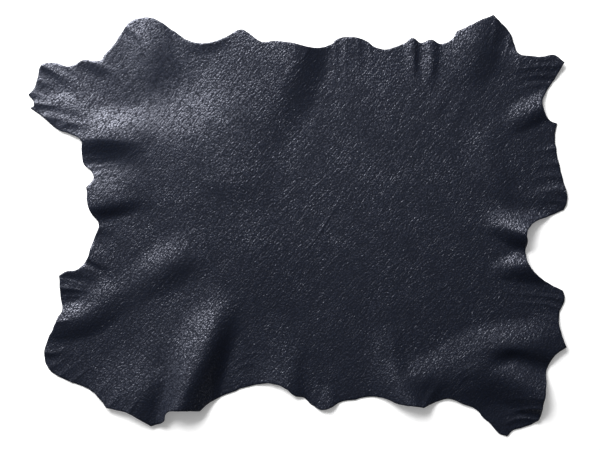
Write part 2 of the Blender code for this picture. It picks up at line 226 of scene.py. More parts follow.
# A crest runs through its points, each with its height in millimetres. From it the skin
# slopes down over `back` board units on the side that looks to the back left, and over
# `front` units on the other side. A crest is round at `crisp` 0 and creased at 1.
Fold = namedtuple("Fold", "name crest crisp", defaults=(0.0,))
Point = namedtuple("Point", "x y height back front")
FOLDS = (
    Fold(
        "left_leg",
        (
            Point(30, 100, 1, 12, 14), Point(44, 103, 2.4, 16, 18), Point(60, 107, 4, 27, 20),
            Point(76, 111, 5.4, 32, 20), Point(90, 115, 5.4, 31, 22), Point(104, 121, 4, 30, 24),
            Point(120, 129, 2, 32, 24), Point(136, 136, 0, 32, 20),
        ),
    ),
    Fold(
        "left_leg_back",
        (
            Point(36, 60, 2.5, 10, 14), Point(54, 71, 2.5, 12, 12), Point(76, 84, 2.5, 16, 14),
            Point(98, 92, 0, 16, 16),
        ),
    ),
    Fold(
        "left_leg_hem",
        (
            Point(78, 56, 2, 8, 14), Point(92, 61, 4, 8, 17), Point(104, 68, 3, 8, 16),
            Point(116, 76, 0, 8, 14),
        ),
    ),
    Fold(
        "neck_back",
        (
            Point(66, 138, 5, 28, 26), Point(82, 140, 9, 30, 26), Point(98, 140, 12, 34, 26),
            Point(114, 141, 10.5, 36, 26), Point(132, 143, 6, 38, 24), Point(150, 146, 0, 40, 22),
        ),
        crisp=0.6,
    ),
    Fold(
        "neck_middle",
        (
            Point(80, 207, 10, 50, 18), Point(100, 204, 10.5, 52, 18), Point(120, 200, 8, 52, 18),
            Point(136, 196, 3.5, 48, 16), Point(152, 194, 0, 44, 14),
        ),
    ),
    Fold(
        "neck_notch",
        (
            Point(90, 228, 4, 14, 14), Point(102, 228, 3, 14, 13), Point(116, 230, 0, 14, 12),
        ),
    ),
    Fold(
        "neck_front",
        (
            Point(80, 252, 6, 20, 15), Point(98, 261, 4, 20, 14), Point(120, 276, 0, 16, 14),
        ),
    ),
    Fold(
        "neck_corner",
        (
            Point(48, 270, 6, 8, 20), Point(68, 268, 6.5, 8, 22), Point(84, 271, 5.5, 9, 22),
            Point(98, 280, 3, 9, 20), Point(112, 292, 0, 8, 16),
        ),
    ),
    Fold(
        "front_left_tab",
        (
            Point(50, 287, 4, 9, 14), Point(72, 288, 4, 10, 14), Point(92, 292, 2, 12, 16),
            Point(110, 298, 0, 12, 16),
        ),
    ),
    Fold(
        "front_left_leg",
        (
            Point(44, 324, 6, 20, 24), Point(64, 322, 8, 22, 26), Point(86, 315, 8.5, 22, 28),
            Point(104, 303, 6.5, 24, 30), Point(120, 290, 3, 24, 28), Point(134, 278, 0, 24, 26),
        ),
    ),
    Fold(
        "front_left_leg_end",
        (
            Point(40, 350, 3, 12, 10), Point(54, 351, 2.5, 12, 12), Point(72, 355, 0, 14, 14),
        ),
    ),
    Fold(
        "middle_left",
        (
            Point(206, 247, 0, 26, 22), Point(190, 254, 3, 28, 24), Point(173, 263, 7, 30, 27),
            Point(155, 274, 6.5, 30, 28), Point(138, 288, 2.5, 26, 26), Point(124, 302, 0, 24, 24),
        ),
    ),
    Fold(
        "belly_ridge",
        (
            Point(228, 288, 0, 28, 22), Point(221, 308, 5, 30, 23), Point(211, 336, 12.5, 34, 25),
            Point(200, 364, 17.5, 34, 30), Point(188, 390, 20, 26, 38),
            Point(177, 416, 21.5, 18, 46),
        ),
        crisp=0.1,
    ),
    Fold(
        "belly_rise",
        (
            Point(230, 296, 0, 60, 40), Point(206, 332, 4.5, 80, 40), Point(188, 366, 7, 72, 40),
            Point(178, 398, 6.5, 52, 36), Point(172, 424, 5, 44, 36),
        ),
    ),
    Fold(
        "belly_point",
        (
            Point(129, 426, 11.5, 60, 31), Point(135, 402, 11, 62, 29), Point(146, 383, 7, 60, 26),
            Point(160, 366, 0, 56, 22),
        ),
    ),
    Fold(
        "left_shoulder",
        (
            Point(142, 6, 5.5, 36, 36), Point(149, 30, 8, 36, 40), Point(153, 52, 8, 36, 44),
            Point(154, 70, 5.5, 36, 44), Point(152, 86, 2.5, 34, 40), Point(146, 98, 0, 32, 32),
        ),
        crisp=0.5,
    ),
    Fold(
        "back_curl",
        (
            Point(190, 38, 1, 8, 14), Point(206, 38, 4.5, 8, 20), Point(224, 33, 2, 8, 14),
        ),
    ),
    Fold(
        "broad_step",
        (
            Point(299, 34, 15, 160, 38), Point(293, 62, 13.5, 160, 38), Point(283, 88, 10, 150, 40),
            Point(271, 111, 5.5, 140, 40), Point(259, 131, 2, 120, 38),
            Point(243, 151, 0, 100, 34),
        ),
        crisp=0.4,
    ),
    Fold(
        "broad_rise",
        (
            Point(108, 160, 0, 56, 70), Point(142, 152, 6, 62, 120), Point(178, 148, 10.5, 68, 200),
            Point(216, 150, 10.5, 84, 220), Point(252, 149, 6.5, 90, 200), Point(284, 142, 0, 80, 120),
        ),
    ),
    Fold(
        "back_edge",
        (Point(352, 37, 3.4, 26, 24), Point(354, 52, 2.4, 28, 26), Point(352, 74, 0, 28, 26)),
    ),
    Fold(
        "left_pleat",
        (
            Point(413.5, 36, 4.6, 13, 7), Point(413.5, 62, 4, 13, 7), Point(415, 88, 0, 14, 8),
        ),
    ),
    Fold(
        "right_pleat",
        (
            Point(431.5, 36, 4.2, 12, 10), Point(431, 66, 3.8, 12, 10), Point(427, 96, 0, 12, 10),
        ),
    ),
    Fold(
        "right_shoulder",
        (
            Point(484, 8, 4, 40, 34), Point(479, 32, 8, 42, 34), Point(475, 52, 8.5, 42, 34),
            Point(469, 72, 4.5, 40, 32), Point(462, 92, 0, 40, 28),
        ),
    ),
    Fold(
        "right_leg_edge",
        (
            Point(500, 58, 0, 14, 30), Point(518, 56, 5, 12, 34), Point(540, 56, 7, 12, 34),
            Point(572, 58, 7, 10, 34),
        ),
    ),
    Fold(
        "right_leg",
        (
            Point(556, 100, 7.5, 17, 19), Point(541, 107, 8, 18, 20), Point(526, 115, 6.5, 22, 20),
            Point(512, 124, 3, 24, 18), Point(498, 134, 0, 24, 16),
        ),
    ),
    Fold(
        "right_flank",
        (
            Point(484, 118, 0, 34, 24), Point(485, 142, 3.2, 34, 30), Point(490, 164, 4.4, 34, 34),
            Point(498, 182, 4.2, 28, 34), Point(508, 200, 2.6, 22, 32), Point(516, 212, 0, 18, 26),
        ),
        crisp=0.4,
    ),
    Fold(
        "right_flank_lip",
        (
            Point(520, 197, 0, 14, 13), Point(537, 195, 2.2, 14, 16), Point(554, 193, 3.2, 15, 17),
            Point(574, 190, 3.2, 15, 17),
        ),
    ),
    Fold(
        "right_bay_back",
        (
            Point(544, 237, 25, 27, 24), Point(527, 234, 22, 27, 23), Point(512, 230, 15, 25, 20),
            Point(499, 226, 8, 24, 17), Point(486, 224, 2.5, 24, 15), Point(474, 224, 0, 24, 14),
        ),
        crisp=0.3,
    ),
    Fold(
        "right_bay_front",
        (
            Point(544, 264, 11, 17, 26), Point(524, 265, 10, 18, 24), Point(508, 267, 6.5, 16, 20),
            Point(494, 270, 2, 14, 18), Point(484, 272, 0, 16, 16),
        ),
    ),
    Fold(
        "rump",
        (
            Point(575, 352, 5, 50, 22), Point(550, 350, 8, 48, 24), Point(530, 348, 11, 38, 20),
            Point(510, 346, 11.5, 32, 16), Point(490, 349, 8, 34, 20), Point(470, 355, 3.5, 36, 24),
            Point(452, 360, 0, 36, 26),
        ),
    ),
    Fold(
        "rump_rise",
        (
            Point(505, 362, 0, 40, 60), Point(482, 368, 5, 48, 60), Point(458, 373, 7, 46, 58),
            Point(438, 377, 7.5, 38, 29), Point(420, 375, 6.5, 30, 24), Point(406, 368, 0, 24, 20),
        ),
    ),
    Fold(
        "hind_leg",
        (
            Point(560, 402, 20, 29, 32), Point(541, 393, 18, 28, 32), Point(522, 382, 14, 26, 32),
            Point(505, 375, 10, 23, 31), Point(489, 373, 6.5, 20, 32), Point(474, 376, 3, 18, 30),
            Point(462, 381, 0, 16, 26),
        ),
    ),
    Fold(
        "front_middle",
        (
            Point(402, 318, 0, 36, 16), Point(393, 340, 3, 42, 17), Point(391, 362, 6, 38, 21),
            Point(399, 384, 11.5, 34, 24), Point(410, 404, 18.5, 32, 28), Point(418, 420, 23, 32, 30),
        ),
        crisp=0.3,
    ),
    Fold(
        "front_left",
        (
            Point(300, 322, 0, 48, 16), Point(296, 346, 1.6, 48, 16), Point(291, 366, 4, 46, 20),
            Point(287, 384, 7, 44, 24), Point(285, 402, 9, 42, 28),
        ),
    ),
    Fold(
        "front_bump",
        (Point(332, 418, 8, 20, 14), Point(328, 402, 6, 20, 14), Point(322, 384, 0, 20, 14)),
    ),
    Fold(
        "middle",
        (
            Point(204, 174, 0, 50, 20), Point(230, 180, 2, 50, 20), Point(252, 187, 1.5, 50, 20),
            Point(276, 194, 0, 50, 20),
        ),
    ),
    Fold(
        "middle_front",
        (
            Point(226, 296, 0, 56, 90), Point(250, 276, 2.4, 62, 110), Point(274, 248, 2.4, 62, 110),
            Point(290, 214, 0, 56, 90),
        ),
    ),
)
BACK_LEFT = np.array((-0.6, 0.8))  # towards the board's back left corner
FADING = 1.15  # how far past `back` or `front` a fold takes to fade out, as a multiple
CREST_ROUNDING = 0.0030  # radius that even a creased crest keeps
BLENDING = 0.0060  # how far a fold's stretches run into each other on the inside of a bend
CREST_CURVE_STEPS = 8  # straight steps between two points of a crest
SETTLING = 0.0015  # height over which the foot of a fold eases onto the floor
SINKING = 0.0004  # what the skin's weight takes off the height of every fold
MILLIMETRE = 0.001


def smooth_run(points):
    """A smooth line through the points of a crest (Catmull-Rom)."""
    points = np.array(points, float)
    padded = np.vstack((2 * points[0] - points[1], points, 2 * points[-1] - points[-2]))
    line = []
    for before, start, end, after in zip(padded, padded[1:], padded[2:], padded[3:]):
        for t in np.arange(CREST_CURVE_STEPS) / CREST_CURVE_STEPS:
            line.append(
                0.5
                * (
                    2 * start
                    + (end - before) * t
                    + (2 * before - 5 * start + 4 * end - after) * t**2
                    + (3 * start - before - 3 * end + after) * t**3
                )
            )
    return np.array(line + [points[-1]])


def fold_heights(fold, places):
    """How high one fold lifts each place, in metres."""
    line = smooth_run(fold.crest)
    run = np.column_stack(on_table(line[:, 0], line[:, 1]))
    shape = line[:, 2:] * (MILLIMETRE, UNIT, UNIT)
    margin = FADING * shape[:, 1:].max() + BLENDING
    near = np.flatnonzero(
        (places > run.min(axis=0) - margin).all(axis=1)
        & (places < run.max(axis=0) + margin).all(axis=1)
    )
    heights = np.zeros(len(places))
    if not len(near):
        return heights
    spots = places[near]

    # Each straight stretch of the crest gives its distance, its side and its own sizes.
    gaps, sides, shapes = [], [], []
    for start, end, first, last in zip(run, run[1:], shape, shape[1:]):
        step = end - start
        normal = np.array((-step[1], step[0])) / np.linalg.norm(step)
        if normal @ BACK_LEFT < 0:
            normal = -normal
        share = np.clip((spots - start) @ step / (step @ step), 0.0, 1.0)[:, None]
        away = spots - (start + share * step)
        gap = np.linalg.norm(away, axis=1)
        gaps.append(gap)
        sides.append(away @ normal / np.maximum(gap, 1e-9))
        shapes.append(first + share * (last - first))

    # The nearest stretch counts most, and its neighbours round off the inside of a bend.
    gaps = np.array(gaps)
    weights = np.exp((gaps.min(axis=0) - gaps) / BLENDING)
    weights /= weights.sum(axis=0)
    gap = (weights * gaps).sum(axis=0)
    side = (weights * sides).sum(axis=0)
    height, back, front = np.einsum("sp,spk->kp", weights, np.array(shapes))

    # Across the crest the height falls from 1 on top to 0 at the foot.
    reach = FADING * (front + (back - front) * (0.5 + 0.5 * side))
    gap = np.hypot(gap, CREST_ROUNDING) - CREST_ROUNDING
    ratio = np.clip(gap / reach, 0.0, 1.0)
    round_top = (1.0 - ratio**2) ** 3
    sharp_top = (1.0 - ratio) ** 3 * (1.0 + 2.0 * ratio)
    heights[near] = height * (round_top + fold.crisp * (sharp_top - round_top))
    return heights


def skin_height(places):
    """Height of the flesh side over the floor: the folds together, eased at their feet."""
    lift = sum(fold_heights(fold, places) for fold in FOLDS) - SINKING
    eased = np.where(lift < SETTLING, lift**2 / (2 * SETTLING), lift - SETTLING / 2)
    return np.where(lift > 0.0, eased, 0.0)


# --- Its small wrinkles --------------------------------------------------------------------
# Where the skin narrows into a leg, or its edge was pulled, the leather is drawn into small
# wrinkles that run in from the cut edge. Its flat middle keeps a few fine creases from the
# shelf. Both are low folds: `height` in millimetres, `back` and `front` in board units.

Wrinkle = namedtuple("Wrinkle", "name height back front path")
EDGE_WRINKLES = (
    Wrinkle("left_leg_end", 1.3, 5, 4, ((32, 104), (45, 105), (60, 107))),
    Wrinkle("left_leg_tip", 1.0, 4, 5, ((27, 92), (35, 94), (46, 98))),
    Wrinkle("left_leg_back_low", 1.0, 4, 5, ((34, 80), (42, 82), (52, 86))),
    Wrinkle("left_leg_back_high", 1.2, 4, 5, ((42, 66), (51, 70), (62, 77))),
    Wrinkle("left_leg_back_middle", 1.0, 4, 5, ((64, 64), (74, 72), (86, 80))),
    Wrinkle("left_leg_front", 0.9, 5, 5, ((58, 127), (72, 124), (88, 126))),
    Wrinkle("left_leg_lip", 2.3, 8, 11, ((44, 117), (66, 121), (92, 129))),
    Wrinkle("shoulder_lobe_left", 1.2, 5, 6, ((124, 26), (132, 31), (142, 40))),
    Wrinkle("shoulder_lobe_back", 1.0, 5, 6, ((160, 18), (164, 32), (168, 50))),
    Wrinkle("shoulder_lobe_right", 1.2, 6, 8, ((176, 30), (184, 50), (190, 74))),
    Wrinkle("neck_back_first", 0.6, 4, 4, ((84, 159), (102, 158), (122, 156))),
    Wrinkle("neck_back_second", 0.6, 3, 4, ((86, 168), (104, 166), (124, 164))),
    Wrinkle("neck_back_third", 0.5, 3, 4, ((90, 176), (106, 173), (122, 171))),
    Wrinkle("neck_front_first", 0.9, 4, 4, ((88, 258), (98, 264), (112, 268))),
    Wrinkle("neck_front_second", 0.9, 4, 4, ((84, 266), (94, 271), (108, 276))),
    Wrinkle("tab_first", 1.0, 3, 4, ((58, 279), (72, 281), (90, 288))),
    Wrinkle("tab_second", 1.0, 3, 4, ((58, 288), (74, 289), (94, 293))),
    Wrinkle("tab_third", 0.9, 3, 4, ((58, 297), (76, 296), (96, 298))),
    Wrinkle("left_corner_lip", 1.3, 3, 5, ((54, 321), (66, 320), (82, 317))),
    Wrinkle("left_corner_first", 1.2, 4, 5, ((44, 352), (54, 353), (66, 350))),
    Wrinkle("left_corner_second", 0.8, 3, 4, ((48, 368), (60, 362), (74, 351))),
    Wrinkle("left_corner_third", 0.8, 3, 4, ((56, 378), (68, 370), (84, 358))),
    Wrinkle("left_corner_fourth", 0.8, 3, 4, ((66, 386), (78, 377), (92, 364))),
    Wrinkle("front_edge_first", 1.0, 4, 5, ((92, 400), (100, 392), (108, 380))),
    Wrinkle("front_edge_second", 1.2, 4, 5, ((108, 408), (116, 398), (122, 386))),
    Wrinkle("front_edge_third", 1.2, 4, 5, ((126, 416), (134, 404), (138, 390))),
    Wrinkle("belly_first", 0.7, 3, 3, ((158, 408), (161, 392), (164, 376))),
    Wrinkle("belly_second", 0.7, 3, 3, ((165, 404), (168, 388), (172, 372))),
    Wrinkle("bay_front_first", 0.9, 4, 4, ((566, 300), (536, 295), (500, 293))),
    Wrinkle("bay_front_second", 0.9, 4, 4, ((562, 309), (538, 303), (510, 303))),
    Wrinkle("bay_front_third", 0.7, 5, 5, ((560, 322), (536, 315), (508, 314))),
    Wrinkle("hind_tip_back", 2.2, 4, 5, ((546, 408), (528, 408), (508, 413))),
    Wrinkle("hind_tip_front", 2.2, 4, 5, ((540, 420), (520, 418), (502, 424))),
    Wrinkle("hind_tip_first", 0.9, 4, 5, ((548, 398), (526, 397), (500, 400))),
    Wrinkle("front_notch", 1.5, 6, 8, ((424, 404), (432, 392), (442, 378))),
    Wrinkle("front_bump_left", 0.9, 4, 4, ((314, 402), (316, 390), (320, 376))),
    Wrinkle("flank_first", 1.2, 4, 5, ((558, 148), (548, 149), (532, 152))),
    Wrinkle("flank_second", 0.9, 4, 5, ((560, 163), (550, 164), (534, 166))),
    Wrinkle("flank_third", 0.9, 4, 5, ((563, 176), (550, 176), (532, 178))),
    Wrinkle("flank_fourth", 1.2, 4, 5, ((566, 190), (554, 189), (538, 190))),
    Wrinkle("flank_fifth", 1.4, 4, 6, ((568, 204), (556, 201), (540, 200))),
    Wrinkle("right_leg_first", 0.9, 4, 5, ((566, 66), (536, 67), (504, 72))),
    Wrinkle("right_leg_second", 0.9, 4, 5, ((560, 76), (534, 76), (506, 82))),
    Wrinkle("right_leg_third", 0.8, 4, 5, ((552, 84), (532, 85), (510, 92))),
    Wrinkle("right_shoulder_first", 1.0, 5, 6, ((496, 16), (494, 34), (490, 56))),
    Wrinkle("right_shoulder_second", 0.9, 4, 5, ((510, 36), (506, 52), (500, 68))),
    Wrinkle("back_lobe_first", 0.6, 4, 4, ((336, 42), (335, 62), (332, 88))),
    Wrinkle("back_lobe_second", 0.6, 4, 4, ((346, 38), (345, 62), (345, 92))),
    Wrinkle("back_lobe_third", 0.6, 4, 4, ((358, 39), (359, 62), (360, 92))),
    Wrinkle("back_lobe_fourth", 0.7, 4, 5, ((369, 43), (371, 62), (375, 86))),
    Wrinkle("back_edge_fan", 0.7, 4, 5, ((310, 48), (302, 60), (288, 76))),
)
FINE_CREASES = (
    Wrinkle("middle_first", 0.75, 2.1, 2.3, ((292, 264), (317, 236), (345, 190))),
    Wrinkle("middle_second", 0.65, 2.1, 2.3, ((362, 230), (373, 218), (385, 207))),
    Wrinkle("middle_third", 0.6, 2.1, 2.3, ((318, 274), (332, 262), (347, 246))),
    Wrinkle("middle_back", 0.75, 2.1, 2.3, ((311, 191), (320, 182), (333, 170))),
    Wrinkle("middle_fourth", 0.6, 2.6, 2.6, ((388, 272), (399, 262), (414, 253))),
    Wrinkle("middle_fifth", 0.5, 2.6, 2.6, ((246, 262), (258, 250), (272, 240))),
    Wrinkle("middle_sixth", 0.5, 2.6, 2.6, ((430, 300), (441, 289), (456, 280))),
    Wrinkle("shoulder_fan_first", 0.45, 3, 3, ((284, 78), (292, 68), (300, 56))),
    Wrinkle("shoulder_fan_second", 0.45, 3, 3, ((292, 82), (300, 71), (308, 58))),
    Wrinkle("neck_first", 0.40, 3, 3, ((122, 164), (132, 155), (144, 148))),
    Wrinkle("neck_second", 0.40, 3, 3, ((130, 172), (141, 162), (154, 154))),
    Wrinkle("right_shoulder_foot", 0.80, 12, 9, ((464, 92), (458, 108), (452, 128))),
    Wrinkle("right_shoulder_valley", 0.80, 10, 9, ((446, 84), (438, 106), (434, 130))),
    Wrinkle("rump_first", 0.55, 2.6, 2.8, ((446, 386), (463, 369), (486, 358))),
    Wrinkle("rump_second", 0.45, 2.6, 2.8, ((452, 390), (468, 374), (490, 363))),
    Wrinkle("rump_third", 0.45, 2.6, 2.6, ((440, 376), (452, 362), (470, 352))),
    Wrinkle("belly_edge_first", 0.50, 3, 3, ((228, 376), (250, 363), (282, 372))),
    Wrinkle("belly_edge_second", 0.45, 3, 3, ((232, 364), (254, 353), (284, 360))),
    Wrinkle("belly_edge_third", 0.35, 3, 3, ((240, 350), (258, 344), (280, 350))),
)
WRINKLE_CRISP = 0.3
EDGE_SHARES = (1.0, 0.9, 0.0)  # of a wrinkle's height, at the three points of its path
CREASE_SHARES = (0.0, 1.0, 0.0)
UNDULATION = 0.00022  # metres that the leather swells and thins by, over a hand's breadth


def wrinkle_fold(wrinkle, shares):
    """A wrinkle as a fold, with the share of its height at each point of its path."""
    crest = [
        Point(x, y, wrinkle.height * share, wrinkle.back, wrinkle.front)
        for (x, y), share in zip(wrinkle.path, shares)
    ]
    return Fold(wrinkle.name, crest, WRINKLE_CRISP)


def wrinkle_height(places):
    """What the wrinkles and creases add to the height of the folds."""
    edge = [wrinkle_fold(wrinkle, EDGE_SHARES) for wrinkle in EDGE_WRINKLES]
    inner = [wrinkle_fold(wrinkle, CREASE_SHARES) for wrinkle in FINE_CREASES]
    return sum(fold_heights(fold, places) for fold in edge + inner)


def unevenness(x, y, rate, layer):
    """Soft random relief between -1 and 1, with about `rate` waves in a metre."""
    return noise.noise((x * rate, y * rate, layer))


def undulation(places):
    """What the leather's own thickness adds: broad swellings, and smaller ones on them."""
    return UNDULATION * np.array(
        [unevenness(x, y, 14.0, 3.0) + 0.5 * unevenness(x, y, 34.0, 7.0) for x, y in places]
    )


# --- The sheet -----------------------------------------------------------------------------
# One thickness of leather about 1.5 mm through: the smooth grain side above, the sueded flesh
# side below and the fibres of the cut edge between them, with its corners worn round.

LEATHER = 0.0015
GRAIN_STEP = 0.0028  # spacing of the points on the grain side
CLOSE_STEP = 0.0013  # and across its wrinkles
FLESH_STEP = 0.0080  # and on the flesh side
ROUNDING = 0.00035  # of the cut edge's corners
RAGGED = 0.0007  # metres that the knife wandered by along the cut edge
GRAIN_SIDE, CUT_SIDE, FLESH_SIDE = range(3)  # the sheet's material slots


def inside(points, line):
    """Which points lie inside a closed line."""
    found = np.zeros(len(points), bool)
    for (ax, ay), (bx, by) in zip(line, np.roll(line, -1, axis=0)):
        crosses = (points[:, 1] < ay) != (points[:, 1] < by)
        if ay != by:
            reach = ax + (points[:, 1] - ay) * (bx - ax) / (by - ay)
            found ^= crosses & (points[:, 0] < reach)
    return found


def tree_of(points):
    """The points as a tree that finds their neighbours."""
    tree = kdtree.KDTree(len(points))
    for index, (x, y) in enumerate(points):
        tree.insert((x, y, 0.0), index)
    tree.balance()
    return tree


def clear_of(points, others, distance):
    """The points that keep their distance from the others."""
    tree = tree_of(others)
    gaps = np.array([tree.find((x, y, 0.0))[2] for x, y in points])
    return points[gaps > distance]


def staggered_points(line, step):
    """Points in staggered rows inside a closed line, clear of it."""
    low, high = line.min(axis=0), line.max(axis=0)
    row_step = step * math.sqrt(3) / 2
    rows = []
    for number, y in enumerate(np.arange(low[1] + row_step / 2, high[1], row_step)):
        xs = np.arange(low[0] + step * (number % 2) / 2, high[0], step)
        rows.append(np.column_stack((xs, np.full(len(xs), y))))
    found = np.vstack(rows)
    rim_gap = 0.7 * min(step, 2 * RIM_STEP)  # so that no thin triangles line the edge
    return clear_of(found[inside(found, line)], line, rim_gap)


def wrinkle_points(line):
    """Close rows of points along every wrinkle, so that its crest stays sharp."""
    rows = []
    for wrinkle in EDGE_WRINKLES + FINE_CREASES:
        run = smooth_run(wrinkle.path)
        run = np.column_stack(on_table(run[:, 0], run[:, 1]))
        along = lengths_along(run)
        run = points_along(run, along, np.arange(0.0, along[-1], 1.6 * CLOSE_STEP))
        step = np.gradient(run, axis=0)
        across = np.column_stack((-step[:, 1], step[:, 0]))
        across /= np.linalg.norm(across, axis=1)[:, None]
        rows += [run + number * CLOSE_STEP * across for number in (-2, -1, 0, 1, 2)]
    found = np.vstack(rows)
    found = clear_of(found[inside(found, line)], line, CLOSE_STEP)

    # Where wrinkles meet, one point stays of those that nearly touch.
    tree = tree_of(found)
    kept = [
        min(near[1] for near in tree.find_range((x, y, 0.0), 0.6 * CLOSE_STEP)) == index
        for index, (x, y) in enumerate(found)
    ]
    return found[kept]


def triangles(line, inner):
    """Triangles over a closed line and the points inside it, which keep their order."""
    count = len(line)
    edges = [(index, (index + 1) % count) for index in range(count)]
    inside_only, nearness = 1, 1e-7
    places = [tuple(place) for place in np.vstack((line, inner))]
    flat, _, faces, *_ = geometry.delaunay_2d_cdt(places, edges, [], inside_only, nearness)
    assert len(flat) == len(places), "the cut edge crosses itself"
    return [tuple(face) for face in faces]


def outwards(line):
    """The outward direction at each point of a closed clockwise line."""
    along = np.roll(line, -1, axis=0) - np.roll(line, 1, axis=0)
    along /= np.linalg.norm(along, axis=1)[:, None]
    return np.column_stack((-along[:, 1], along[:, 0]))


def ragged(line):
    """The cut edge as the knife left it, wandering a little and nicked."""
    wander = [
        unevenness(x, y, 90.0, 0.0) + 0.6 * unevenness(x, y, 190.0, 5.0) for x, y in line
    ]
    return line + RAGGED * np.array(wander)[:, None] * outwards(line)


def build_sheet():
    """The mesh: grain side, worn corner, cut edge, worn corner and flesh side, all joined."""
    cut = ragged(rim)
    shoulder = cut - ROUNDING * outwards(cut)
    close = wrinkle_points(shoulder)
    spread = clear_of(staggered_points(shoulder, GRAIN_STEP), close, 1.3 * CLOSE_STEP)
    grain = np.vstack((shoulder, close, spread))
    flesh = np.vstack((shoulder, staggered_points(shoulder, FLESH_STEP)))
    grain_faces = triangles(shoulder, grain[len(rim) :])
    flesh_faces = triangles(shoulder, flesh[len(rim) :])
    grain_height = skin_height(grain) + wrinkle_height(grain) + undulation(grain)
    flesh_height = skin_height(flesh) + wrinkle_height(flesh)
    count = len(rim)
    points = np.vstack(
        (
            np.column_stack((grain, grain_height + LEATHER)),
            np.column_stack((cut, grain_height[:count] + LEATHER - ROUNDING)),
            np.column_stack((cut, flesh_height[:count] + ROUNDING)),
            np.column_stack((flesh, flesh_height)),
        )
    )
    upper, lower = len(grain), len(grain) + count
    under = lower + count
    faces = list(grain_faces)
    kinds = [GRAIN_SIDE] * len(grain_faces)
    rings = ((0, upper, GRAIN_SIDE), (upper, lower, CUT_SIDE), (lower, under, CUT_SIDE))
    for top, bottom, kind in rings:
        for index in range(count):
            after = (index + 1) % count
            faces.append((top + index, top + after, bottom + after, bottom + index))
            kinds.append(kind)
    faces += [tuple(under + index for index in reversed(face)) for face in flesh_faces]
    kinds += [FLESH_SIDE] * len(flesh_faces)
    mesh = bpy.data.meshes.new("leather_hide")
    mesh.from_pydata(points.tolist(), [], faces)
    mesh.polygons.foreach_set("material_index", kinds)
    mesh.polygons.foreach_set("use_smooth", [True] * len(faces))
    mesh.update()
    return mesh


hide_mesh = build_sheet()


# --- The grain side ------------------------------------------------------------------------
# Full-grain leather, dyed navy in the drum, then tumbled dry until the grain drew up into
# pebbles with fine creases between them, and finished with a thin satin film.

NAVY = (0.0050, 0.0077, 0.0165)
# Painted shade: the darker navy put into the creases between the pebbles, where their walls would
# shade them. It is also the colour of the matt shader mixed in over them.
CREASE_SHADE_NAVY = (0.0028, 0.0042, 0.0095)
SATIN_TINT = (0.84, 0.86, 1.0, 1.0)
PEBBLE = 0.0028  # metres across
PEBBLE_HEIGHT = 0.55  # millimetres, as are the next two
CREASE_DEPTH = 0.22
SWELL_HEIGHT = 0.30
HAIR_SLANT = 50.0  # degrees from the x axis
STRAY = (0.0030, 0.0030, 0.0)  # metres that the pattern strays from its even rows
STRAY_RATE = 240.0  # waves of that in a metre
# Painted shade for the creases: a dark matt shader is mixed in over them, and stands in for the light
# that their walls keep out.
CREASE_DARK = 1.7  # how far the walls of a crease keep the light out of it
DARKEST = 0.92  # the largest share of the light that they keep out


class Signal:
    """A socket in a material. Arithmetic on it adds Math nodes, and node() adds any other."""

    def __init__(self, tree, socket=None):
        self.tree = tree
        self.socket = socket

    def node(self, kind, settings=None, output=0, **inputs):
        """A new node's output. Inputs are named as its sockets are, or _0, _1 by place."""
        made = self.tree.nodes.new(kind)
        for name, value in (settings or {}).items():
            setattr(made, name, value)
        for name, value in inputs.items():
            socket = made.inputs[int(name[1:]) if name[0] == "_" else name.replace("_", " ")]
            if isinstance(value, Signal):
                self.tree.links.new(value.socket, socket)
            else:
                socket.default_value = value
        return Signal(self.tree, made.outputs[output])

    def math(self, operation, first, second=0.0):
        return self.node("ShaderNodeMath", {"operation": operation}, _0=first, _1=second)

    def __add__(self, other):
        return self.math("ADD", self, other)

    def __sub__(self, other):
        return self.math("SUBTRACT", self, other)

    def __rsub__(self, other):
        return self.math("SUBTRACT", other, self)

    def __mul__(self, other):
        return self.math("MULTIPLY", self, other)

    def __truediv__(self, other):
        return self.math("DIVIDE", self, other)

    def __pow__(self, other):
        return self.math("POWER", self, other)

    __radd__ = __add__
    __rmul__ = __mul__


def finish_of(name, base, roughness, specular):
    """A material with its Principled shader set, and a Signal to build on."""
    material = bpy.data.materials.new(name)
    material.use_nodes = True
    shader = material.node_tree.nodes["Principled BSDF"]
    shader.inputs["Base Color"].default_value = (*base, 1.0)
    shader.inputs["Roughness"].default_value = roughness
    shader.inputs["Specular IOR Level"].default_value = specular
    return material, shader, Signal(material.node_tree)


def blended(factor, first, second):
    """`first` where the factor is 0, `second` where it is 1."""
    return first + factor * (second - first)


def mixed(factor, first, second):
    """The same for colours."""
    colours = {"_0": factor, "_6": (*first, 1.0), "_7": (*second, 1.0)}
    return factor.node("ShaderNodeMix", {"data_type": "RGBA"}, output=2, **colours)


def cloudy(place, size, detail=2.0):
    """Soft noise from 0 to 1, with clouds of a given size in metres."""
    flat = {"noise_dimensions": "2D"}
    return place.node("ShaderNodeTexNoise", flat, Vector=place, Scale=1.0 / size, Detail=detail)


def turned(place, degrees, length):
    """The same place on a pattern that is turned and drawn out along its own x axis."""
    return place.node(
        "ShaderNodeMapping",
        {"vector_type": "TEXTURE"},
        Vector=place,
        Rotation=(0.0, 0.0, math.radians(degrees)),
        Scale=(length, 1.0, 1.0),
    )


def around(place, x, y, inner, outer):
    """1 within `inner` board units of a point of the board, fading to 0 at `outer`."""
    middle = (*on_table(x, y), 0.0)
    gap = place.node(
        "ShaderNodeVectorMath", {"operation": "DISTANCE"}, output=1, _0=place, _1=middle
    )
    return place.node(
        "ShaderNodeMapRange",
        {"interpolation_type": "SMOOTHSTEP"},
        Value=gap,
        From_Min=inner * UNIT,
        From_Max=outer * UNIT,
        To_Min=1.0,
        To_Max=0.0,
    )


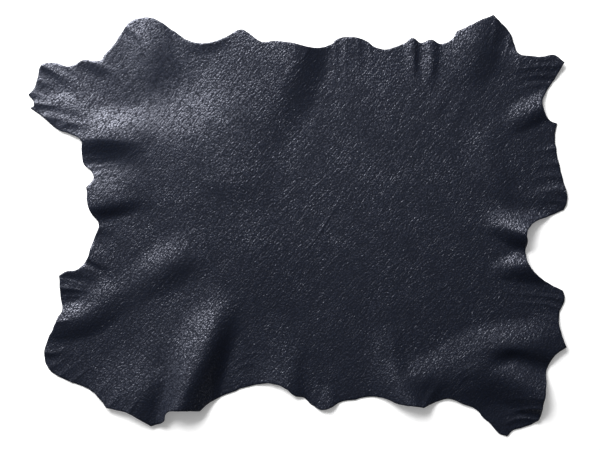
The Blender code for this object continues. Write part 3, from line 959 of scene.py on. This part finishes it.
def pebbles(place, degrees, length, size):
    """Domed cells of the grain: 1 on top of a pebble, towards 0 in the crease round it."""
    from_middle = place.node(
        "ShaderNodeTexVoronoi",
        {"feature": "F1", "voronoi_dimensions": "2D"},
        Vector=turned(place, degrees, length),
        Scale=1.0 / size,
        Randomness=0.85,
    )
    to_crease = from_middle * 1.25  # which lies about 0.8 of a cell's size from its middle
    return 1.0 - place.math("MINIMUM", to_crease, 1.0) ** 2.0


def drawn_creases(place, degrees, length, size, sharpness):
    """Long fine creases: 1 along a crease and 0 away from it."""
    field = cloudy(turned(place, degrees, length), size, detail=1.0)
    off_line = place.math("ABSOLUTE", field - 0.5) * sharpness
    return 1.0 - place.math("MINIMUM", off_line, 1.0)


def grain_finish():
    """Pebbles drawn out along the pull of the hair: aslant over the body, straight in from the
    back edge by the pleats, and nearly round on the left leg."""
    material, shader, draw = finish_of("navy_grain", NAVY, roughness=0.35, specular=0.90)
    shader.inputs["Specular Tint"].default_value = SATIN_TINT
    place = draw.node("ShaderNodeTexCoord", output=3)
    stray = place.node(
        "ShaderNodeTexNoise",
        {"noise_dimensions": "2D"},
        output=1,
        Vector=place,
        Scale=STRAY_RATE,
        Detail=2.0,
    )
    stray = place.node(
        "ShaderNodeVectorMath", {"operation": "MULTIPLY_ADD"}, _0=stray, _1=STRAY, _2=place
    )
    by_pleats = around(place, 410, 40, inner=40, outer=150)
    on_leg = around(place, 90, 110, inner=30, outer=90)
    slanted = pebbles(stray, degrees=HAIR_SLANT, length=1.5, size=PEBBLE)
    straight = pebbles(stray, degrees=84.0, length=1.6, size=PEBBLE)
    even = pebbles(stray, degrees=20.0, length=1.1, size=1.35 * PEBBLE)
    cells = blended(on_leg, blended(by_pleats, slanted, straight), even)
    creases = drawn_creases(stray, degrees=52.0, length=4.5, size=0.009, sharpness=11.0)
    fine = cloudy(turned(stray, HAIR_SLANT, 1.5), size=0.0022, detail=1.0)
    swell = cloudy(place, size=0.012)
    broad = cloudy(place, size=0.060)

    # The grain is shallower, and its painted crease shade lighter, on the left leg and round it.
    shallow = around(place, 90, 80, inner=60, outer=190)
    depth = (0.6 + 0.8 * broad) * (1.0 - 0.45 * shallow)
    relief = PEBBLE_HEIGHT * (0.8 * cells + 0.75 * fine) - CREASE_DEPTH * creases
    height = depth * relief + SWELL_HEIGHT * swell
    bump = draw.node("ShaderNodeBump", Strength=1.0, Distance=MILLIMETRE, Height=height)
    draw.tree.links.new(bump.socket, shader.inputs["Normal"])
    # Painted shade in the base colour: it darkens towards the crease round each pebble. Random broad
    # mottling lies over it.
    tone = draw.math("MINIMUM", cells * 0.75 + broad * 0.4, 1.0)
    draw.tree.links.new(mixed(tone, CREASE_SHADE_NAVY, NAVY).socket, shader.inputs["Base Color"])
    roughness = 0.40 - 0.10 * cells + 0.06 * (swell - 0.5)
    draw.tree.links.new(roughness.socket, shader.inputs["Roughness"])

    # Painted shade: a dark matt shader is mixed in over the creases round the pebbles and over the
    # drawn creases, in place of the shade that they would hold.
    crease_shade_share = CREASE_DARK * (1.0 - 0.35 * shallow) * (1.0 - cells) + 0.35 * creases
    crease_shade_share = draw.math("MINIMUM", crease_shade_share, DARKEST)
    painted_crease_shade = draw.node(
        "ShaderNodeBsdfPrincipled",
        Base_Color=(*CREASE_SHADE_NAVY, 1.0),
        Roughness=0.8,
        Specular_IOR_Level=0.15,
    )
    surface = Signal(draw.tree, shader.outputs[0])
    whole = draw.node("ShaderNodeMixShader", _0=crease_shade_share, _1=surface, _2=painted_crease_shade)
    output = draw.tree.nodes["Material Output"]
    draw.tree.links.new(whole.socket, output.inputs["Surface"])
    return material


# --- The cut edge and the flesh side -------------------------------------------------------
# The dye goes right through, a little greyer in the fibres. The flesh side is buffed to a
# short, matt suede nap.

FIBRE = (0.010, 0.014, 0.024)
PALE_FIBRE = (0.045, 0.052, 0.070)
SUEDE = (0.020, 0.026, 0.042)
PALE_SUEDE = (0.040, 0.048, 0.068)
PATCHES = 30.0  # paler and darker patches of the fibres, in a metre


def fibrous(name, dark, pale, size, rise):
    """A matt finish of loose fibres, for the cut edge and the flesh side."""
    material, shader, draw = finish_of(name, pale, roughness=0.95, specular=0.2)
    place = draw.node("ShaderNodeTexCoord", output=3)
    fibres = draw.node("ShaderNodeTexNoise", Vector=place, Scale=1.0 / size, Detail=4.0)
    patches = draw.node("ShaderNodeTexNoise", Vector=place, Scale=PATCHES, Detail=2.0)
    tone = 0.6 * fibres + 0.4 * patches
    tone = draw.node("ShaderNodeMapRange", Value=tone, From_Min=0.38, From_Max=0.62)
    draw.tree.links.new(mixed(tone, dark, pale).socket, shader.inputs["Base Color"])
    bump = draw.node("ShaderNodeBump", Strength=1.0, Distance=MILLIMETRE, Height=rise * fibres)
    draw.tree.links.new(bump.socket, shader.inputs["Normal"])
    return material


# --- The whole skin ------------------------------------------------------------------------
# One piece, with its three finishes. It is laid loose on the floor, and nothing is sewn,
# lined or fixed to it.

scene = bpy.context.scene

hide = bpy.data.objects.new("leather_hide", hide_mesh)
scene.collection.objects.link(hide)
for finish in (
    grain_finish(),
    fibrous("cut_fibres", FIBRE, PALE_FIBRE, size=0.0006, rise=0.15),
    fibrous("navy_suede", SUEDE, PALE_SUEDE, size=0.0012, rise=0.12),
):
    hide_mesh.materials.append(finish)
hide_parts("hide")
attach(hide, "root")


# --- The floor, the lamp and the camera ----------------------------------------------------
# A plain white studio floor in a dim room, with one soft lamp and a bright wall at the back
# left. It is dark overhead, so that the grain shows its own colour to a camera above it.

FLOOR_DROP = 0.0003  # metres that the floor lies under the skin's flesh side
FLOOR_HALF = 4.0  # metres from its middle to its sides
FLOOR_WHITE = (0.90, 0.90, 0.90)
FLOOR_FILL = 0.24  # light that the white floor gives off, as a lit table does
WALL = Vector((-0.57, 0.82, 0.4)).normalized()  # towards the bright wall of the room
FRAME_WIDE, FRAME_HIGH = 600, 450  # board units that the camera sees


def make_floor():
    mesh = bpy.data.meshes.new("floor")
    corners = [(-1, -1), (1, -1), (1, 1), (-1, 1)]
    points = [(x * FLOOR_HALF, y * FLOOR_HALF, -FLOOR_DROP) for x, y in corners]
    mesh.from_pydata(points, [], [(0, 1, 2, 3)])
    material, shader, _ = finish_of("floor_white", FLOOR_WHITE, roughness=1.0, specular=0.0)
    shader.inputs["Emission Color"].default_value = (1.0, 1.0, 1.0, 1.0)
    shader.inputs["Emission Strength"].default_value = FLOOR_FILL
    mesh.materials.append(material)
    floor = bpy.data.objects.new("floor", mesh)
    scene.collection.objects.link(floor)


def make_lamp(place, wide, high, power):
    """A soft box that faces the middle of the skin."""
    light = bpy.data.lights.new("key_lamp", "AREA")
    light.shape = "RECTANGLE"
    light.size = wide
    light.size_y = high
    light.energy = power
    lamp = bpy.data.objects.new("key_lamp", light)
    lamp.location = place
    lamp.rotation_euler = (-Vector(place)).to_track_quat("-Z", "Y").to_euler()
    scene.collection.objects.link(lamp)


def make_room(dim, glow, softness, horizon, band):
    """A dim room with one wide, bright wall, and a faint glow low down all round."""
    world = bpy.data.worlds.new("room")
    world.use_nodes = True
    draw = Signal(world.node_tree)
    ray = draw.node("ShaderNodeTexCoord")
    towards_wall = draw.node(
        "ShaderNodeVectorMath", {"operation": "DOT_PRODUCT"}, output=1, _0=ray, _1=WALL
    )
    height = draw.node("ShaderNodeSeparateXYZ", output=2, _0=ray)
    wall = glow * draw.math("MAXIMUM", towards_wall, 0.0) ** softness
    low = horizon * draw.math("MAXIMUM", 1.0 - height / band, 0.0)
    strength = dim + wall + low
    background = world.node_tree.nodes["Background"]
    draw.tree.links.new(strength.socket, background.inputs["Strength"])
    background.inputs["Color"].default_value = (1.0, 1.0, 1.0, 1.0)
    scene.world = world


def make_camera(lens):
    """Straight above, at the height from which it sees the whole frame."""
    data = bpy.data.cameras.new("camera")
    data.lens = lens
    data.sensor_width = 36.0
    camera = bpy.data.objects.new("camera", data)
    x, y = on_table(FRAME_WIDE / 2, FRAME_HIGH / 2)
    camera.location = (x, y, FRAME_WIDE * UNIT * lens / data.sensor_width)
    scene.collection.objects.link(camera)
    scene.camera = camera


make_floor()
make_lamp(place=(-0.94, 1.57, 1.2), wide=1.7, high=1.1, power=126.0)
make_room(dim=0.006, glow=1.4, softness=2.5, horizon=0.05, band=0.3)
make_camera(lens=60.0)
scene.view_settings.view_transform = "Standard"
